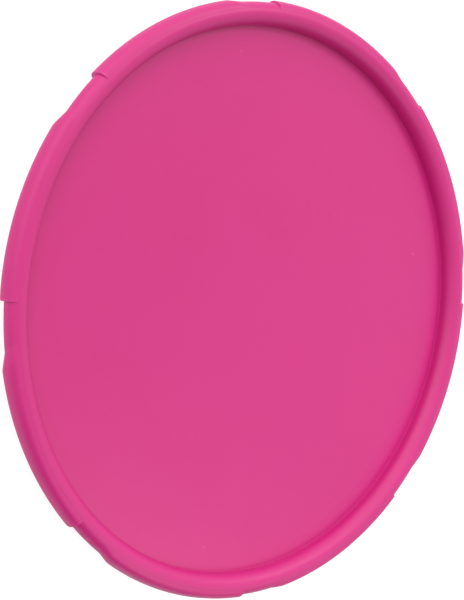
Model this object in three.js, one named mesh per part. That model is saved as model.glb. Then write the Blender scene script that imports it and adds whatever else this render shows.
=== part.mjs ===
// A soft silicone disc, in millimetres, lying on its back with its open side up.
// A flat web fills a thick round rim bead. Eight raised lobes stand round the outside of
// the bead, and each runs on across the back as a low swept vane that the disc rests on.
// +Z is the axis of the disc, and the origin is under its centre, on the resting plane.
// All of it is one moulding: neighbouring regions meet face to face, with no gap.

import * as THREE from 'three';
import { mergeVertices } from 'three/addons/utils/BufferGeometryUtils.js';

// Driving dimensions
const BEAD_CENTRE_RADIUS = 105.2;
const BEAD_RADIUS = 3.8;
const RELIEF_DEPTH = 1.6; // how far the lobes and vanes stand out on the back
const WEB_THICKNESS = 1.4;
const WEB_RADIUS = 100.5;
const LOBE_COUNT = 8;
const RAMP_START = THREE.MathUtils.degToRad(9); // the foot of each ramp, after a sharp step
const RAMP_WIDTH = THREE.MathUtils.degToRad(3);
const LOBE_DEPTH = 0.88; // how far a lobe stands out at the widest part of the rim
const LOBE_BACK_RATE = 0.86; // depth gained for each radian towards the back
const LOBE_CROWN_RATE = 0.34; // depth lost for each radian towards the crown
const LOBE_FADE_ANGLE = THREE.MathUtils.degToRad(40); // where a lobe starts to fade out
const LOBE_CROWN_ANGLE = THREE.MathUtils.degToRad(80); // where it has faded into the bead
const VANE_INNER_RADIUS = 36;
const VANE_SWEEP = THREE.MathUtils.degToRad(50); // how far a vane turns on its way in
const VANE_TIP_SHARE = 0.55; // a vane's angular width at its inner end, over that at the rim
const FEATHER_EDGE = 0.08; // the thinnest edge of a region that fades out

// Facets
const ROUND_STEPS = 120;
const LOBE_STEPS_ACROSS = 10;
const WALL_STEPS = 9;
const VANE_STEPS_INWARD = 10;

// Worked out from the driving dimensions
const BEAD_MIDDLE_HEIGHT = RELIEF_DEPTH + BEAD_RADIUS;
const WEB_TOP_HEIGHT = RELIEF_DEPTH + WEB_THICKNESS;
const LOBE_PITCH = (2 * Math.PI) / LOBE_COUNT;
const LOBE_ANGLE = LOBE_PITCH - RAMP_START;
const LOBE_STEPS_ROUND = Math.round((LOBE_ANGLE / (2 * Math.PI)) * ROUND_STEPS);
const LOBE_BOTTOM_ANGLE = -Math.PI / 2;
const CROWN_ANGLE = Math.PI / 2;
const WALL_ROUND = BEAD_CENTRE_RADIUS - WEB_RADIUS; // radius of the bead's inner side

const SILICONE = { color: 0xdc4a8e, roughness: 0.5, metalness: 0 };

// The point on the bead's section at an angle (0 outermost, 90 degrees on the crown),
// standing out of the bead's own surface by lift.
function beadPoint(sectionAngle, lift = 0) {
  const reach = BEAD_RADIUS + lift;
  const radius = BEAD_CENTRE_RADIUS + reach * Math.cos(sectionAngle);
  const height = BEAD_MIDDLE_HEIGHT + reach * Math.sin(sectionAngle);
  return new THREE.Vector2(radius, height);
}

function lobeSectionAngle(share) {
  return THREE.MathUtils.lerp(LOBE_BOTTOM_ANGLE, LOBE_CROWN_ANGLE, share);
}

// Full height between the ramp and the next sharp step, and nothing at the ramp's foot.
function rampShare(angleFromFoot) {
  return THREE.MathUtils.clamp(angleFromFoot / RAMP_WIDTH, 0, 1);
}

function lobeLift(sectionAngle, angleFromFoot) {
  const toBack = LOBE_BACK_RATE * Math.max(0, -sectionAngle);
  const toCrown = LOBE_CROWN_RATE * Math.max(0, sectionAngle);
  const fullDepth = Math.min(RELIEF_DEPTH, LOBE_DEPTH + toBack - toCrown);
  const faded = THREE.MathUtils.smoothstep(sectionAngle, LOBE_FADE_ANGLE, LOBE_CROWN_ANGLE);
  return Math.max(FEATHER_EDGE, fullDepth * (1 - faded) * rampShare(angleFromFoot));
}

// A ring or disc turned about +Z, with a facet edge on +X.
function turned(profile) {
  const geometry = new THREE.LatheGeometry(profile, ROUND_STEPS, Math.PI / 2);
  geometry.rotateX(Math.PI / 2);
  return geometry;
}

// A box bent into a curved slab: place(along, across, isOuter) gives each point.
function bentBox(stepsAlong, stepsAcross, place) {
  const geometry = new THREE.BoxGeometry(1, 1, 1, stepsAlong, stepsAcross, 1);
  geometry.deleteAttribute('normal');
  geometry.deleteAttribute('uv');
  const position = geometry.getAttribute('position');
  for (let i = 0; i < position.count; i += 1) {
    const point = place(position.getX(i) + 0.5, position.getY(i) + 0.5, position.getZ(i) > 0);
    position.setXYZ(i, point.x, point.y, point.z);
  }
  const merged = mergeVertices(geometry);
  merged.computeVertexNormals();
  return merged;
}

function onCircle(radius, angle, height) {
  return new THREE.Vector3(radius * Math.cos(angle), radius * Math.sin(angle), height);
}

function webGeometry() {
  return turned([
    new THREE.Vector2(0, RELIEF_DEPTH),
    new THREE.Vector2(WEB_RADIUS, RELIEF_DEPTH),
    new THREE.Vector2(WEB_RADIUS, WEB_TOP_HEIGHT),
    new THREE.Vector2(0, WEB_TOP_HEIGHT),
  ]);
}

// The bead's inner side: a fuller round that carries on from the crown without a kink until
// it stands upright, and then drops straight to the web.
function innerWall() {
  const centre = new THREE.Vector2(BEAD_CENTRE_RADIUS, BEAD_MIDDLE_HEIGHT + BEAD_RADIUS - WALL_ROUND);
  const points = [];
  for (let i = 1; i < WALL_STEPS; i += 1) {
    points.push(beadPoint(CROWN_ANGLE).rotateAround(centre, (Math.PI / 2) * (i / WALL_STEPS)));
  }
  points.push(new THREE.Vector2(WEB_RADIUS, centre.y));
  points.push(new THREE.Vector2(WEB_RADIUS, WEB_TOP_HEIGHT));
  return points;
}

function beadGeometry() {
  const profile = [new THREE.Vector2(WEB_RADIUS, RELIEF_DEPTH)];
  for (let i = 0; i <= LOBE_STEPS_ACROSS; i += 1) {
    profile.push(beadPoint(lobeSectionAngle(i / LOBE_STEPS_ACROSS)));
  }
  profile.push(beadPoint(CROWN_ANGLE));
  profile.push(...innerWall());
  profile.push(profile[0].clone());
  return turned(profile);
}

function lobeGeometry(sharpStepAngle) {
  const foot = sharpStepAngle + RAMP_START;
  return bentBox(LOBE_STEPS_ROUND, LOBE_STEPS_ACROSS, (along, across, isOuter) => {
    const sectionAngle = lobeSectionAngle(across);
    const angleFromFoot = along * LOBE_ANGLE;
    const lift = isOuter ? lobeLift(sectionAngle, angleFromFoot) : 0;
    const point = beadPoint(sectionAngle, lift);
    return onCircle(point.x, foot + angleFromFoot, point.y);
  });
}

// A vane starts under its lobe, on the circle where the bead is lowest, and sweeps inward.
function vaneGeometry(sharpStepAngle) {
  const foot = sharpStepAngle + RAMP_START;
  return bentBox(LOBE_STEPS_ROUND, VANE_STEPS_INWARD, (along, inward, isUpper) => {
    const radius = THREE.MathUtils.lerp(BEAD_CENTRE_RADIUS, VANE_INNER_RADIUS, inward);
    const turn = VANE_SWEEP * inward * inward;
    const widthShare = THREE.MathUtils.lerp(1, VANE_TIP_SHARE, inward);
    const angle = foot + turn + along * LOBE_ANGLE * widthShare;
    const depth = Math.max(FEATHER_EDGE, RELIEF_DEPTH * rampShare(along * LOBE_ANGLE));
    return onCircle(radius, angle, isUpper ? RELIEF_DEPTH : RELIEF_DEPTH - depth);
  });
}

function region(name, geometry) {
  const mesh = new THREE.Mesh(geometry, new THREE.MeshStandardMaterial(SILICONE));
  mesh.name = name;
  return mesh;
}

const disc = new THREE.Group();
disc.name = 'soft_silicone_disc';
disc.add(region('web', webGeometry()));
disc.add(region('rim_bead', beadGeometry()));
for (let k = 0; k < LOBE_COUNT; k += 1) {
  const sharpStepAngle = k * LOBE_PITCH;
  disc.add(region(`rim_lobe_${k + 1}`, lobeGeometry(sharpStepAngle)));
  disc.add(region(`back_vane_${k + 1}`, vaneGeometry(sharpStepAngle)));
}

export default disc;
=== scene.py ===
"""A soft silicone disc, lying on its back with its open side up, in metres.

A flat web fills a thick round rim bead. Eight lobes stand round the outside of the bead,
each with a sharp step at one end and a ramp at the other, and each runs on across the
back as a low swept vane. All of it is one moulding, so the regions meet without a seam.
"""
import math

import bpy
from mathutils import Matrix, Vector, noise


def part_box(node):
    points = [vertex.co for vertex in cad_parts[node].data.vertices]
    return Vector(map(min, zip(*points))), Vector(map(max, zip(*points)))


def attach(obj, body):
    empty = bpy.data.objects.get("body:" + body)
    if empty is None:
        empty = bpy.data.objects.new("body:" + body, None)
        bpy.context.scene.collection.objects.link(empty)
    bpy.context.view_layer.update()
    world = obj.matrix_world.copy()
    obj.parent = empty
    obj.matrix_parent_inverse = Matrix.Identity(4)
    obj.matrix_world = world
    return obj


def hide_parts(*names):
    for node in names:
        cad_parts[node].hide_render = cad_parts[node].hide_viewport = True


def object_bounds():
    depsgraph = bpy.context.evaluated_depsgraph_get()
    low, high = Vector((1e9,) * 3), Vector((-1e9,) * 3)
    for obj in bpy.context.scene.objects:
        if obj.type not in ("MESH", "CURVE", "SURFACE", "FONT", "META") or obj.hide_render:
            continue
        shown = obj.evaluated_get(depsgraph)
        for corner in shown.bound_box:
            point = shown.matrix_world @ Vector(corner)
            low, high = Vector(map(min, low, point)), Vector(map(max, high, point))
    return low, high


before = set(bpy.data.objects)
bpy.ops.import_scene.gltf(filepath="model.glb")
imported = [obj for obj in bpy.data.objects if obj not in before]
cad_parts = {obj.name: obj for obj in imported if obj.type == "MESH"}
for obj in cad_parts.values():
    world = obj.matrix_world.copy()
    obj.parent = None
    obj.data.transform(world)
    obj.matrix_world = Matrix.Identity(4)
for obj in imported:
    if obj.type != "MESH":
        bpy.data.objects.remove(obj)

MM = 0.001
cad_low, cad_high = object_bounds()

# ---------------------------------------------------------------- sizes

BEAD_RADIUS = 3.8 * MM
RELIEF_DEPTH = 1.6 * MM  # how far the lobes and vanes stand out on the back
WEB_THICKNESS = 1.4 * MM
WEB_EDGE_RADIUS = 100.5 * MM  # the crease between the web and the bead
SEAM_RADIUS = 100.2 * MM  # where the web's flat skin hands over to the bead's
CREASE_EASE = 0.2 * MM
OUTER_LOBE_DEPTH = 0.88 * MM  # at the widest part of the rim
BACK_DEPTH_RATE = 0.86 * MM  # depth gained for each radian towards the back
CROWN_DEPTH_RATE = 0.34 * MM  # depth lost for each radian towards the crown
FADE_START = math.radians(40)
FADE_END = math.radians(80)
EDGE_ROUND = 0.12 * MM  # on the edges of the sharp steps at the rim
ROUND_LIMIT = 0.9  # an edge's round takes no more than this share of the depth there
DEPTH_EASE = 0.1 * MM  # softens the point where a lobe reaches its full depth
SKIN_TUCK = 0.02 * MM  # how far a region's thin edge is tucked under its neighbour
ROOT_DEPTH = 0.5 * MM  # how far a lobe or vane is rooted in the body behind it

LOBE_COUNT = 8
LOBE_PITCH = math.tau / LOBE_COUNT
RAMP_FOOT = math.radians(8.5)
RAMP_LEAN = math.radians(1.3)  # how far the ramp's foot moves for each radian of section
RAMP_WIDTH = math.radians(3.0)
RAMP_TOP_EASE = 0.18  # softens the ramp's top, as a share of its height

VANE_INNER_RADIUS = 36 * MM
VANE_SWEEP = math.radians(50)
VANE_TIP_SHARE = 0.55  # a vane's angular width at its inner end, over that at the rim
VANE_NOSE_START = 0.84  # the share of the way in at which a vane starts to round off
VANE_NOSE_SHARE = 0.06  # the width left at the very tip
VANE_EDGE_ROUND = 0.6 * MM
VANE_ROUND_GROWTH = 6.0  # an edge's round is full over one sixth of the way in

RUB_REACH = 1.1 * MM  # how far the rubbing reaches from a lobe's sharp step
RUB_DEPTH = 0.6 * MM  # the depth of a step that is fully rubbed
VANE_RUB_REACH = 1.4 * MM

PARTING_LINE_ANGLE = math.radians(-4)
PARTING_LINE_HEIGHT = 0.05 * MM
PARTING_LINE_WIDTH = math.radians(2.2)
WEB_RIPPLE = 0.07 * MM
RIPPLE_SCALE = 24.0
RIPPLE_SLICE = 0.02
RIPPLE_CALM = 4  # how sharply the ripple dies away towards the web's edge

ROUND_STEPS = 480
WEB_RINGS = 44
BEAD_STEPS = 100
WALL_STEPS = 40
CREASE_STEPS = 6
LOBE_STEPS = (84, 56)  # along and across
VANE_STEPS = (84, 72)

# For closer_at_ends: the share of the steps at each end, and the share of the way they cover
ENDS_ALONG = (0.28, 0.16, 0.16, 0.012)  # from the ramp to the sharp step
ENDS_INWARD = (0.02, 0.02, 0.30, 0.16)  # from the rim to a vane's tip

MERGE_DISTANCE = 0.001 * MM
SHARP_ANGLE = math.radians(38)

web_low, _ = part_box("web")
BACK_HEIGHT = web_low.z  # the back of the web and bead, between the vanes
WEB_TOP = web_low.z + WEB_THICKNESS
BEAD_HEIGHT = BACK_HEIGHT + BEAD_RADIUS
CROWN_ANGLE = math.pi / 2
BEAD_CENTRE_RADIUS = 105.2 * MM
WALL_ROUND = BEAD_CENTRE_RADIUS - WEB_EDGE_RADIUS  # radius of the bead's inner side

# ---------------------------------------------------------------- camera

VIEW_AZIMUTH = math.radians(263.99)
VIEW_TILT = math.radians(40.59)  # between the disc's axis and the line of sight
VIEW_ROLL = math.radians(98.15)
VIEW_DISTANCE = 679.4 * MM
VIEW_OFFSET = (-8.72 * MM, 0.78 * MM)  # the camera's shift to its own right and up
LENS = 111.1  # millimetres, like the sensor
SENSOR = 36.0
NEAR_CLIP = 0.05


def view_axes():
    """The camera's right, up and back directions."""
    back = Vector((math.sin(VIEW_TILT) * math.cos(VIEW_AZIMUTH),
                   math.sin(VIEW_TILT) * math.sin(VIEW_AZIMUTH),
                   math.cos(VIEW_TILT)))
    level_right = Vector((0, 0, 1)).cross(back).normalized()
    level_up = back.cross(level_right)
    right = math.cos(VIEW_ROLL) * level_right + math.sin(VIEW_ROLL) * level_up
    return right, back.cross(right), back


RIGHT, UP, BACK = view_axes()
DISC_MIDDLE = Vector((0, 0, BEAD_HEIGHT))


def make_camera():
    data = bpy.data.cameras.new("camera")
    data.lens = LENS
    data.sensor_width = SENSOR
    data.clip_start = NEAR_CLIP
    camera = bpy.data.objects.new("camera", data)
    place = DISC_MIDDLE + BACK * VIEW_DISTANCE + RIGHT * VIEW_OFFSET[0] + UP * VIEW_OFFSET[1]
    turn = Matrix((RIGHT, UP, BACK)).transposed().to_4x4()
    camera.matrix_world = Matrix.Translation(place) @ turn
    bpy.context.collection.objects.link(camera)
    bpy.context.scene.camera = camera


make_camera()

# ---------------------------------------------------------------- node expressions


class Value:
    """A number socket in a node tree, which Python's operators combine by Math nodes."""

    def __init__(self, tree, socket):
        self.tree = tree
        self.socket = socket

    def math(self, operation, *others):
        return self.tree.math(operation, self, *others)

    def __add__(self, other):
        return self.math("ADD", other)

    def __sub__(self, other):
        return self.math("SUBTRACT", other)

    def __mul__(self, other):
        return self.math("MULTIPLY", other)

    def __truediv__(self, other):
        return self.math("DIVIDE", other)

    def __neg__(self):
        return self.math("MULTIPLY", -1.0)

    def __radd__(self, other):
        return self.tree.math("ADD", other, self)

    def __rsub__(self, other):
        return self.tree.math("SUBTRACT", other, self)

    def __rmul__(self, other):
        return self.tree.math("MULTIPLY", other, self)

    def clamp(self):
        return self.math("MAXIMUM", 0.0).math("MINIMUM", 1.0)

    def smooth(self):
        """An ease from 0 to 1, flat at both ends."""
        held = self.clamp()
        return held * held * (3.0 - 2.0 * held)


class Tree:
    """Adds nodes to a shader or geometry tree by one method."""

    def __init__(self, tree):
        self.tree = tree

    def node(self, kind, settings=(), **sockets):
        """A node of a kind, its settings first, then values or links for its sockets by name."""
        node = self.tree.nodes.new(kind)
        for name, value in dict(settings).items():
            setattr(node, name, value)
        for name, value in sockets.items():
            self.feed(node.inputs[name.replace("_", " ")], value)
        return node

    def feed(self, socket, value):
        if isinstance(value, Value):
            value = value.socket
        if isinstance(value, bpy.types.NodeSocket):
            self.tree.links.new(value, socket)
        else:
            socket.default_value = value

    def value(self, node, output=0):
        return Value(self, node.outputs[output])

    def math(self, operation, *terms):
        node = self.tree.nodes.new("ShaderNodeMath")
        node.operation = operation
        for socket, term in zip(node.inputs, terms):
            self.feed(socket, term)
        return Value(self, node.outputs[0])

    def parts(self, vector):
        """The three numbers of a vector."""
        node = self.node("ShaderNodeSeparateXYZ", Vector=vector)
        return [Value(self, socket) for socket in node.outputs]

    def vector(self, x, y, z):
        return self.node("ShaderNodeCombineXYZ", X=x, Y=y, Z=z).outputs[0]


# ---------------------------------------------------------------- material

SILICONE_PINK = (0.50, 0.013, 0.165)
DEEP_PINK = (0.46, 0.010, 0.147)
RUBBED_PINK = (0.54, 0.032, 0.22)
LINT_WHITE = (0.80, 0.62, 0.68)

# Each noise's scale, detail and shift. The shifts keep the noises from lining up.
CLOUD = (22.0, 3.0, 1.7)
PIGMENT = (380.0, 2.0, 4.1)
SMUDGE = (70.0, 4.0, 9.3)
SKIN = (2600.0, 3.0, 2.9)
SWELL = (95.0, 1.0, 6.6)

VEIN_SCALE = 160.0
VEIN_WIDTH = 0.03
VEIN_DEEPENING = 0.04
LINT_SCALE = 210.0
LINT_SIZE = 0.11
LINT_RARITY = 0.965
LINT_SHARE = 0.2
CLOUD_DEEPENING = 0.9
PIGMENT_DEEPENING = 0.35
RUB_SHARE = 0.35
RUB_PIGMENT_SHARE = 0.5

WEB_ROUGHNESS = 0.37
BEAD_EXTRA_ROUGHNESS = 0.09
SMUDGE_ROUGHNESS = 0.14
SKIN_ROUGHNESS = 0.06
RUB_POLISH = 0.08
SILICONE_IOR = 1.45

# Heights of the fine relief, in millimetres
SKIN_HEIGHT = 0.010
PIGMENT_HEIGHT = 0.012
SWELL_HEIGHT = 0.10
LINT_HEIGHT = 0.03
RELIEF_STRENGTH = 0.8


def opaque(colour):
    return (*colour, 1.0)


def mixed(tree, share, first, second):
    node = tree.node("ShaderNodeMix", {"data_type": "RGBA"})
    tree.feed(node.inputs["Factor"], share)
    for name, colour in (("A", first), ("B", second)):
        socket = next(s for s in node.inputs if s.name == name and s.type == "RGBA")
        tree.feed(socket, colour)
    return next(s for s in node.outputs if s.type == "RGBA")


def speckle(tree, place, scale, detail, shift):
    moved = tree.node("ShaderNodeVectorMath", {"operation": "ADD"})
    tree.feed(moved.inputs[0], place)
    tree.feed(moved.inputs[1], (shift, shift, shift))
    node = tree.node("ShaderNodeTexNoise", Vector=moved.outputs[0], Scale=scale, Detail=detail)
    return tree.value(node)


def silicone():
    """Satin pink silicone: cloudy pigment, a fine matt skin, smudges, lint and rubbed edges."""
    material = bpy.data.materials.new("satin_pink_silicone")
    material.use_nodes = True
    material.node_tree.nodes.clear()
    tree = Tree(material.node_tree)
    place = tree.node("ShaderNodeTexCoord").outputs["Object"]

    cloud = speckle(tree, place, *CLOUD)
    pigment = speckle(tree, place, *PIGMENT)
    smudge = speckle(tree, place, *SMUDGE)
    skin = speckle(tree, place, *SKIN)
    swell = speckle(tree, place, *SWELL)
    vein = tree.node("ShaderNodeTexVoronoi", {"feature": "DISTANCE_TO_EDGE"}, Vector=place,
                     Scale=VEIN_SCALE)
    dust = tree.node("ShaderNodeTexVoronoi", Vector=place, Scale=LINT_SCALE, Randomness=1.0)
    chosen = tree.parts(dust.outputs["Color"])[0].math("GREATER_THAN", LINT_RARITY)
    rub = tree.value(tree.node("ShaderNodeAttribute", {"attribute_name": "rub"}), "Fac")

    lint = (1.0 - tree.value(dust, "Distance") / LINT_SIZE).clamp() * chosen
    veining = (1.0 - tree.value(vein) / VEIN_WIDTH).clamp() * VEIN_DEEPENING
    clouding = (cloud - 0.5) * CLOUD_DEEPENING + (pigment - 0.5) * PIGMENT_DEEPENING
    depth = clouding + 0.5 + veining
    body = mixed(tree, depth.clamp(), opaque(SILICONE_PINK), opaque(DEEP_PINK))
    worn_share = rub * (RUB_SHARE + pigment * RUB_PIGMENT_SHARE)
    worn = mixed(tree, worn_share, body, opaque(RUBBED_PINK))
    colour = mixed(tree, lint * LINT_SHARE, worn, opaque(LINT_WHITE))

    x, y, _ = tree.parts(place)
    on_bead = (((x * x + y * y).math("SQRT") - WEB_EDGE_RADIUS) / MM).smooth()
    satin = WEB_ROUGHNESS + on_bead * BEAD_EXTRA_ROUGHNESS
    handled = (smudge - 0.5) * SMUDGE_ROUGHNESS
    grain = (skin - 0.5) * SKIN_ROUGHNESS
    roughness = satin + handled + grain - rub * RUB_POLISH
    fine = (skin - 0.5) * SKIN_HEIGHT + (pigment - 0.5) * PIGMENT_HEIGHT
    height = fine + (swell - 0.5) * SWELL_HEIGHT + lint * LINT_HEIGHT
    bump = tree.node("ShaderNodeBump", Strength=RELIEF_STRENGTH, Distance=MM, Height=height)
    shader = tree.node("ShaderNodeBsdfPrincipled", Roughness=roughness, Normal=bump.outputs[0])
    tree.feed(shader.inputs["Base Color"], colour)
    shader.inputs["IOR"].default_value = SILICONE_IOR
    tree.node("ShaderNodeOutputMaterial", Surface=shader.outputs[0])
    return material


SILICONE = silicone()

# ---------------------------------------------------------------- geometry node trees


class ShapeTree(Tree):
    """A geometry tree with named inputs, which ends in Realize Instances and Set Material."""

    def __init__(self, name):
        super().__init__(bpy.data.node_groups.new(name, "GeometryNodeTree"))
        self.interface = self.tree.interface
        self.interface.new_socket("Geometry", in_out="INPUT", socket_type="NodeSocketGeometry")
        self.interface.new_socket("Geometry", in_out="OUTPUT", socket_type="NodeSocketGeometry")
        self.inputs = self.tree.nodes.new("NodeGroupInput")

    def size(self, name, value):
        socket = self.interface.new_socket(name, in_out="INPUT", socket_type="NodeSocketFloat")
        socket.default_value = value
        return Value(self, self.inputs.outputs[name])

    def end(self, geometry):
        merged = self.node("GeometryNodeMergeByDistance", Geometry=geometry, Distance=MERGE_DISTANCE)
        smooth = self.node("GeometryNodeSetShadeSmooth", Geometry=merged.outputs[0])
        solid = self.node("GeometryNodeRealizeInstances", Geometry=smooth.outputs[0])
        coated = self.node("GeometryNodeSetMaterial", Geometry=solid.outputs[0], Material=SILICONE)
        self.node("NodeGroupOutput", Geometry=coated.outputs[0])
        return self.tree


def unit_box(tree, steps_along, steps_across):
    """A box's mesh and the shares, 0 to 1, along, across and through it at each point."""
    box = tree.node("GeometryNodeMeshCube", Size=(1.0, 1.0, 1.0), Vertices_X=steps_along + 1,
                    Vertices_Y=steps_across + 1, Vertices_Z=2)
    place = tree.node("GeometryNodeInputPosition").outputs[0]
    return box.outputs["Mesh"], [share + 0.5 for share in tree.parts(place)]


def around(tree, radius, angle, height):
    return tree.vector(radius * angle.math("COSINE"), radius * angle.math("SINE"), height)


def placed(tree, mesh, position, rub):
    """The mesh with its points moved, and its worn edges kept as an attribute."""
    worn = tree.node("GeometryNodeStoreNamedAttribute", {"data_type": "FLOAT", "domain": "POINT"},
                     Geometry=mesh, Name="rub", Value=rub)
    return tree.node("GeometryNodeSetPosition", Geometry=worn.outputs[0], Position=position).outputs[0]


def closer_at_ends(along, start_share, start_reach, end_share, end_reach):
    """Shares that bunch the steps up at both ends: each end takes a share of the steps."""
    middle = 1.0 - start_share - end_share
    start = (along / start_share).clamp() * start_reach
    centre = ((along - start_share) / middle).clamp() * (1.0 - start_reach - end_reach)
    end = ((along - (1.0 - end_share)) / end_share).clamp() * end_reach
    return start + centre + end


def rounded_off(distance, radius):
    """How far a rounded edge falls away at a distance from the edge."""
    inside = (radius - distance).math("MAXIMUM", 0.0)
    left = (radius * radius - inside * inside).math("MAXIMUM", 0.0)
    return radius - left.math("SQRT")


def ramp_share(turned):
    """From nothing at the ramp's foot to full height at its top."""
    return (turned / RAMP_WIDTH).math("SMOOTH_MIN", 1.0, RAMP_TOP_EASE)


def ramp_foot(section_angle):
    return RAMP_FOOT - section_angle * RAMP_LEAN


def lobe_tree():
    tree = ShapeTree("rim_lobe_shape")
    step_angle = tree.size("Sharp step angle", 0.0)
    bead_centre = tree.size("Bead centre radius", BEAD_CENTRE_RADIUS)
    bead_height = tree.size("Bead height", BEAD_HEIGHT)
    mesh, (along, across, outward) = unit_box(tree, *LOBE_STEPS)

    section = across * (FADE_END + math.pi / 2) - math.pi / 2
    foot = ramp_foot(section)
    gone = closer_at_ends(along, *ENDS_ALONG)
    span = LOBE_PITCH - foot
    turned = gone * span
    to_step = (span - turned) * bead_centre

    to_back = (-section).math("MAXIMUM", 0.0) * BACK_DEPTH_RATE
    to_crown = section.math("MAXIMUM", 0.0) * CROWN_DEPTH_RATE
    full = (OUTER_LOBE_DEPTH + to_back - to_crown).math("SMOOTH_MIN", RELIEF_DEPTH, DEPTH_EASE)
    held = 1.0 - ((section - FADE_START) / (FADE_END - FADE_START)).smooth()
    depth = full * held * ramp_share(turned)
    radius = (depth * ROUND_LIMIT).math("MINIMUM", EDGE_ROUND)
    lift = depth - rounded_off(to_step, radius) - SKIN_TUCK
    from_line = (section - PARTING_LINE_ANGLE) / PARTING_LINE_WIDTH
    ridge = (1.0 - from_line * from_line).math("MAXIMUM", 0.0) * PARTING_LINE_HEIGHT
    reach = BEAD_RADIUS + outward * (lift + ridge + ROOT_DEPTH) - ROOT_DEPTH

    ring = bead_centre + reach * section.math("COSINE")
    height = bead_height + reach * section.math("SINE")
    position = around(tree, ring, step_angle + foot + turned, height)
    rub = (1.0 - to_step / RUB_REACH).clamp() * outward * (depth / RUB_DEPTH).clamp()
    return tree.end(placed(tree, mesh, position, rub))


def vane_tree():
    tree = ShapeTree("back_vane_shape")
    step_angle = tree.size("Sharp step angle", 0.0)
    rim_radius = tree.size("Rim radius", BEAD_CENTRE_RADIUS)
    inner_radius = tree.size("Inner radius", VANE_INNER_RADIUS)
    back_height = tree.size("Back height", BACK_HEIGHT)
    mesh, (along, across, upward) = unit_box(tree, *VANE_STEPS)

    inward = closer_at_ends(across, *ENDS_INWARD)
    foot = ramp_foot(-math.pi / 2)
    gone = closer_at_ends(along, *ENDS_ALONG)
    span = LOBE_PITCH - foot
    turned = gone * span
    past_nose = ((inward - VANE_NOSE_START) / (1.0 - VANE_NOSE_START)).clamp()
    nose = (1.0 - past_nose * past_nose).math("MAXIMUM", VANE_NOSE_SHARE ** 2).math("SQRT")
    width = (1.0 - inward * (1.0 - VANE_TIP_SHARE)) * nose
    middle = span * (1.0 - inward * (1.0 - VANE_TIP_SHARE)) * 0.5
    radius = rim_radius + inward * (inner_radius - rim_radius)
    sweep = inward * inward * VANE_SWEEP
    angle = step_angle + foot + sweep + middle + (turned - span * 0.5) * width

    to_step = (span - turned) * width * radius
    to_tip = (1.0 - inward) * (rim_radius - inner_radius)
    depth = ramp_share(turned) * RELIEF_DEPTH
    grown = (inward * VANE_ROUND_GROWTH).clamp()
    full_round = EDGE_ROUND + grown * (VANE_EDGE_ROUND - EDGE_ROUND)
    edge_round = (depth * ROUND_LIMIT).math("MINIMUM", full_round)
    fallen = rounded_off(to_step, edge_round).math("MAXIMUM", rounded_off(to_tip, edge_round))
    lower = back_height + SKIN_TUCK - depth + fallen
    upper = back_height + ROOT_DEPTH
    position = around(tree, radius, angle, lower + upward * (upper - lower))
    by_step = (1.0 - to_step / VANE_RUB_REACH).clamp()
    by_tip = (1.0 - to_tip / VANE_RUB_REACH).clamp()
    edge = by_step.math("MAXIMUM", by_tip)
    rub = edge * (1.0 - upward) * ramp_share(turned).clamp()
    return tree.end(placed(tree, mesh, position, rub))


def turned_tree():
    """Turns an outline, given as the points of the input mesh, once round the disc's axis."""
    tree = ShapeTree("turned_outline_shape")
    outline = tree.inputs.outputs["Geometry"]
    steps = tree.size("Steps round", float(ROUND_STEPS))
    counted = tree.node("GeometryNodeAttributeDomainSize", Geometry=outline)
    count = tree.value(counted, "Point Count")
    grid = tree.node("GeometryNodeMeshGrid", Size_X=1.0, Size_Y=1.0)
    tree.feed(grid.inputs["Vertices X"], steps + 1.0)
    tree.feed(grid.inputs["Vertices Y"], count)
    place = tree.node("GeometryNodeInputPosition").outputs[0]
    along, across, _ = tree.parts(place)
    row = ((across + 0.5) * (count - 1.0)).math("ROUND")
    sample = tree.node("GeometryNodeSampleIndex", {"data_type": "FLOAT_VECTOR", "domain": "POINT"},
                       Geometry=outline, Value=place, Index=row)
    radius, _, height = tree.parts(sample.outputs[0])
    angle = (along + 0.5) * math.tau
    position = around(tree, radius, angle, height)
    moved = tree.node("GeometryNodeSetPosition", Geometry=grid.outputs["Mesh"], Position=position)
    return tree.end(moved.outputs[0])


def shaped(name, tree, sizes, points=()):
    """A plain mesh piece made by a geometry tree, with the tree's sizes given by name."""
    mesh = bpy.data.meshes.new(name + "_outline")
    mesh.from_pydata(points, [(i, i + 1) for i in range(len(points) - 1)], [])
    source = bpy.data.objects.new(name + "_outline", mesh)
    bpy.context.collection.objects.link(source)
    modifier = source.modifiers.new("shape", "NODES")
    modifier.node_group = tree
    for item in tree.interface.items_tree:
        if item.name in sizes:
            modifier[item.identifier] = sizes[item.name]
    bpy.context.view_layer.update()
    evaluated = source.evaluated_get(bpy.context.evaluated_depsgraph_get())
    made = bpy.data.meshes.new_from_object(evaluated)
    source.modifiers.remove(modifier)
    bpy.data.objects.remove(source)
    made.name = name
    made.materials.clear()
    made.materials.append(SILICONE)
    piece = bpy.data.objects.new(name, made)
    bpy.context.collection.objects.link(piece)
    return piece


def stand_for(piece, node):
    """Puts a finished piece in the place of a CAD node."""
    piece.data.set_sharp_from_angle(angle=SHARP_ANGLE)
    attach(piece, "root")
    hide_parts(node)


# ---------------------------------------------------------------- web and bead


def on_circle(centre, radius, angle):
    return centre[0] + radius * math.cos(angle), 0.0, centre[1] + radius * math.sin(angle)


def arc(centre, radius, start, end, steps):
    return [on_circle(centre, radius, start + (end - start) * i / steps) for i in range(steps + 1)]


def bead_skin(section_angle):
    """The bead's own radius at a section angle, with the fine ridge of the parting line."""
    from_line = (section_angle - PARTING_LINE_ANGLE) / PARTING_LINE_WIDTH
    return BEAD_RADIUS + PARTING_LINE_HEIGHT * max(0.0, 1.0 - from_line * from_line)


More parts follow.
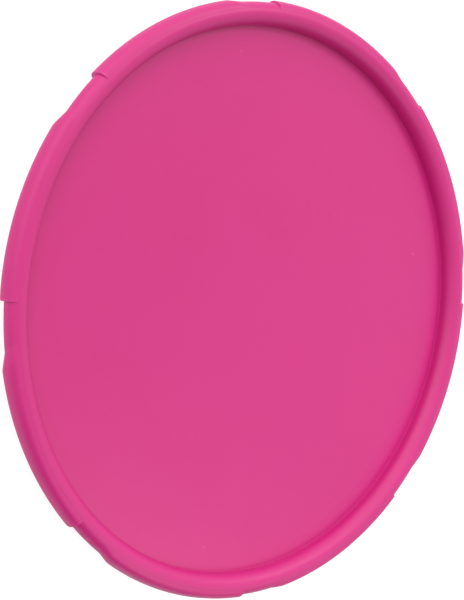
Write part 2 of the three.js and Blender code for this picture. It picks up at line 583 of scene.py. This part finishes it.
def eased(start, corner, end, steps):
    """A corner rounded off from start to end."""
    def blend(i, axis):
        share = i / steps
        left = 1.0 - share
        return left * left * start[axis] + 2 * share * left * corner[axis] + share * share * end[axis]
    return [(blend(i, 0), 0.0, blend(i, 2)) for i in range(steps + 1)]


def bead_outline():
    """The bead's section: its round, the fuller round of its inner side, the upright drop to
    the crease, and the edge of the web."""
    points = [(SEAM_RADIUS, 0.0, BACK_HEIGHT)]
    for i in range(BEAD_STEPS + 1):
        angle = -CROWN_ANGLE + 2 * CROWN_ANGLE * i / BEAD_STEPS
        points.append(on_circle((BEAD_CENTRE_RADIUS, BEAD_HEIGHT), bead_skin(angle), angle))
    wall_centre = (BEAD_CENTRE_RADIUS, BEAD_HEIGHT + BEAD_RADIUS - WALL_ROUND)
    points += arc(wall_centre, WALL_ROUND, CROWN_ANGLE, 2 * CROWN_ANGLE, WALL_STEPS)[1:]
    crease = (WEB_EDGE_RADIUS, 0.0, WEB_TOP)
    above = (WEB_EDGE_RADIUS, 0.0, WEB_TOP + CREASE_EASE)
    points += eased(above, crease, (WEB_EDGE_RADIUS - CREASE_EASE, 0.0, WEB_TOP), CREASE_STEPS)
    points += [(SEAM_RADIUS, 0.0, WEB_TOP), points[0]]
    return points


def web_outline():
    """The web's section, with enough rings for its skin to ripple."""
    rings = [SEAM_RADIUS * i / WEB_RINGS for i in range(WEB_RINGS + 1)]
    under = [(radius, 0.0, BACK_HEIGHT) for radius in rings]
    over = [(radius, 0.0, WEB_TOP) for radius in reversed(rings)]
    return under + over


def ripple_web(piece):
    """Gives the thin web the slight unevenness of a soft moulding, still at its edge."""
    for vertex in piece.data.vertices:
        radius = math.hypot(vertex.co.x, vertex.co.y) / SEAM_RADIUS
        calm = max(0.0, 1.0 - radius ** RIPPLE_CALM)
        place = Vector((vertex.co.x, vertex.co.y, RIPPLE_SLICE)) * RIPPLE_SCALE
        vertex.co.z += WEB_RIPPLE * calm * noise.noise(place)


def make_turned_parts():
    tree = turned_tree()
    sizes = {"Steps round": float(ROUND_STEPS)}
    web = shaped("web_skin", tree, sizes, web_outline())
    ripple_web(web)
    stand_for(web, "web")
    bead = shaped("rim_bead_skin", tree, sizes, bead_outline())
    stand_for(bead, "rim_bead")


def make_lobes_and_vanes():
    lobe_shape = lobe_tree()
    vane_shape = vane_tree()
    for k in range(LOBE_COUNT):
        sizes = {"Sharp step angle": k * LOBE_PITCH, "Bead centre radius": BEAD_CENTRE_RADIUS,
                 "Bead height": BEAD_HEIGHT, "Rim radius": BEAD_CENTRE_RADIUS,
                 "Inner radius": VANE_INNER_RADIUS, "Back height": BACK_HEIGHT}
        lobe = shaped(f"rim_lobe_{k + 1}_skin", lobe_shape, sizes)
        stand_for(lobe, f"rim_lobe_{k + 1}")
        vane = shaped(f"back_vane_{k + 1}_skin", vane_shape, sizes)
        stand_for(vane, f"back_vane_{k + 1}")


make_turned_parts()
make_lobes_and_vanes()

# ---------------------------------------------------------------- studio

WHITE = (1.0, 1.0, 1.0)
FLOOR_TONE = (0.25, 0.25, 0.25)
FLOOR_HALF_WIDTH = 4.0
FLOOR_GAP = 0.1 * MM
FLOOR_ROUGHNESS = 0.9
FLOOR_SHEEN = 0.1
FLOOR_GLOW = 0.85  # a light table, so that the disc hardly shades the floor round it

# The room is bright round three headings. Each has its azimuth, elevation and strength.
ROOM_GLOWS = ((204, 30, 2.36), (84, 30, 1.19), (264, 30, 0.75))

# Each lamp's name, azimuth, elevation, distance, size and power
LAMPS = (
    ("key_lamp", 134, 45, 1.6, 0.2, 4.0),
    ("near_lamp", 30.4, 47.5, 0.45, 0.25, 0.32),
)


def heading(azimuth, elevation):
    """The direction at an azimuth and elevation in degrees."""
    turn = math.radians(azimuth)
    rise = math.radians(elevation)
    return Vector((math.cos(rise) * math.cos(turn), math.cos(rise) * math.sin(turn), math.sin(rise)))


def soft_light(name, direction, distance, size, power):
    """A round lamp that faces the disc."""
    data = bpy.data.lights.new(name, "AREA")
    data.shape = "DISK"
    data.size = size
    data.energy = power
    lamp = bpy.data.objects.new(name, data)
    lamp.rotation_mode = "QUATERNION"
    lamp.rotation_quaternion = direction.to_track_quat("Z", "Y")
    lamp.location = DISC_MIDDLE + direction * distance
    bpy.context.collection.objects.link(lamp)


def make_floor():
    half = FLOOR_HALF_WIDTH
    level = cad_low.z - FLOOR_GAP
    corners = [(x * half, y * half, level) for x, y in ((-1, -1), (1, -1), (1, 1), (-1, 1))]
    mesh = bpy.data.meshes.new("floor")
    mesh.from_pydata(corners, [], [(0, 1, 2, 3)])
    material = bpy.data.materials.new("pale_floor")
    material.use_nodes = True
    shader = material.node_tree.nodes["Principled BSDF"]
    shader.inputs["Base Color"].default_value = opaque(FLOOR_TONE)
    shader.inputs["Emission Color"].default_value = opaque(WHITE)
    shader.inputs["Emission Strength"].default_value = FLOOR_GLOW
    shader.inputs["Roughness"].default_value = FLOOR_ROUGHNESS
    shader.inputs["Specular IOR Level"].default_value = FLOOR_SHEEN
    mesh.materials.append(material)
    floor = bpy.data.objects.new("floor", mesh)
    bpy.context.collection.objects.link(floor)


def make_room():
    """Soft white light that is brighter round some headings."""
    world = bpy.data.worlds.new("studio")
    world.use_nodes = True
    world.node_tree.nodes.clear()
    tree = Tree(world.node_tree)
    looking = tree.node("ShaderNodeTexCoord").outputs["Generated"]
    glows = []
    for azimuth, elevation, glow in ROOM_GLOWS:
        facing = tree.node("ShaderNodeVectorMath", {"operation": "DOT_PRODUCT"})
        tree.feed(facing.inputs[0], looking)
        tree.feed(facing.inputs[1], heading(azimuth, elevation))
        towards = tree.value(facing, "Value").math("MAXIMUM", 0.0)
        glows.append(towards * towards * glow)
    strength = sum(glows[1:], glows[0])
    background = tree.node("ShaderNodeBackground", Color=opaque(WHITE), Strength=strength)
    tree.node("ShaderNodeOutputWorld", Surface=background.outputs[0])
    bpy.context.scene.world = world


make_floor()
make_room()
for name, azimuth, elevation, distance, size, power in LAMPS:
    soft_light(name, heading(azimuth, elevation), distance, size, power)
bpy.context.scene.view_settings.view_transform = "Standard"
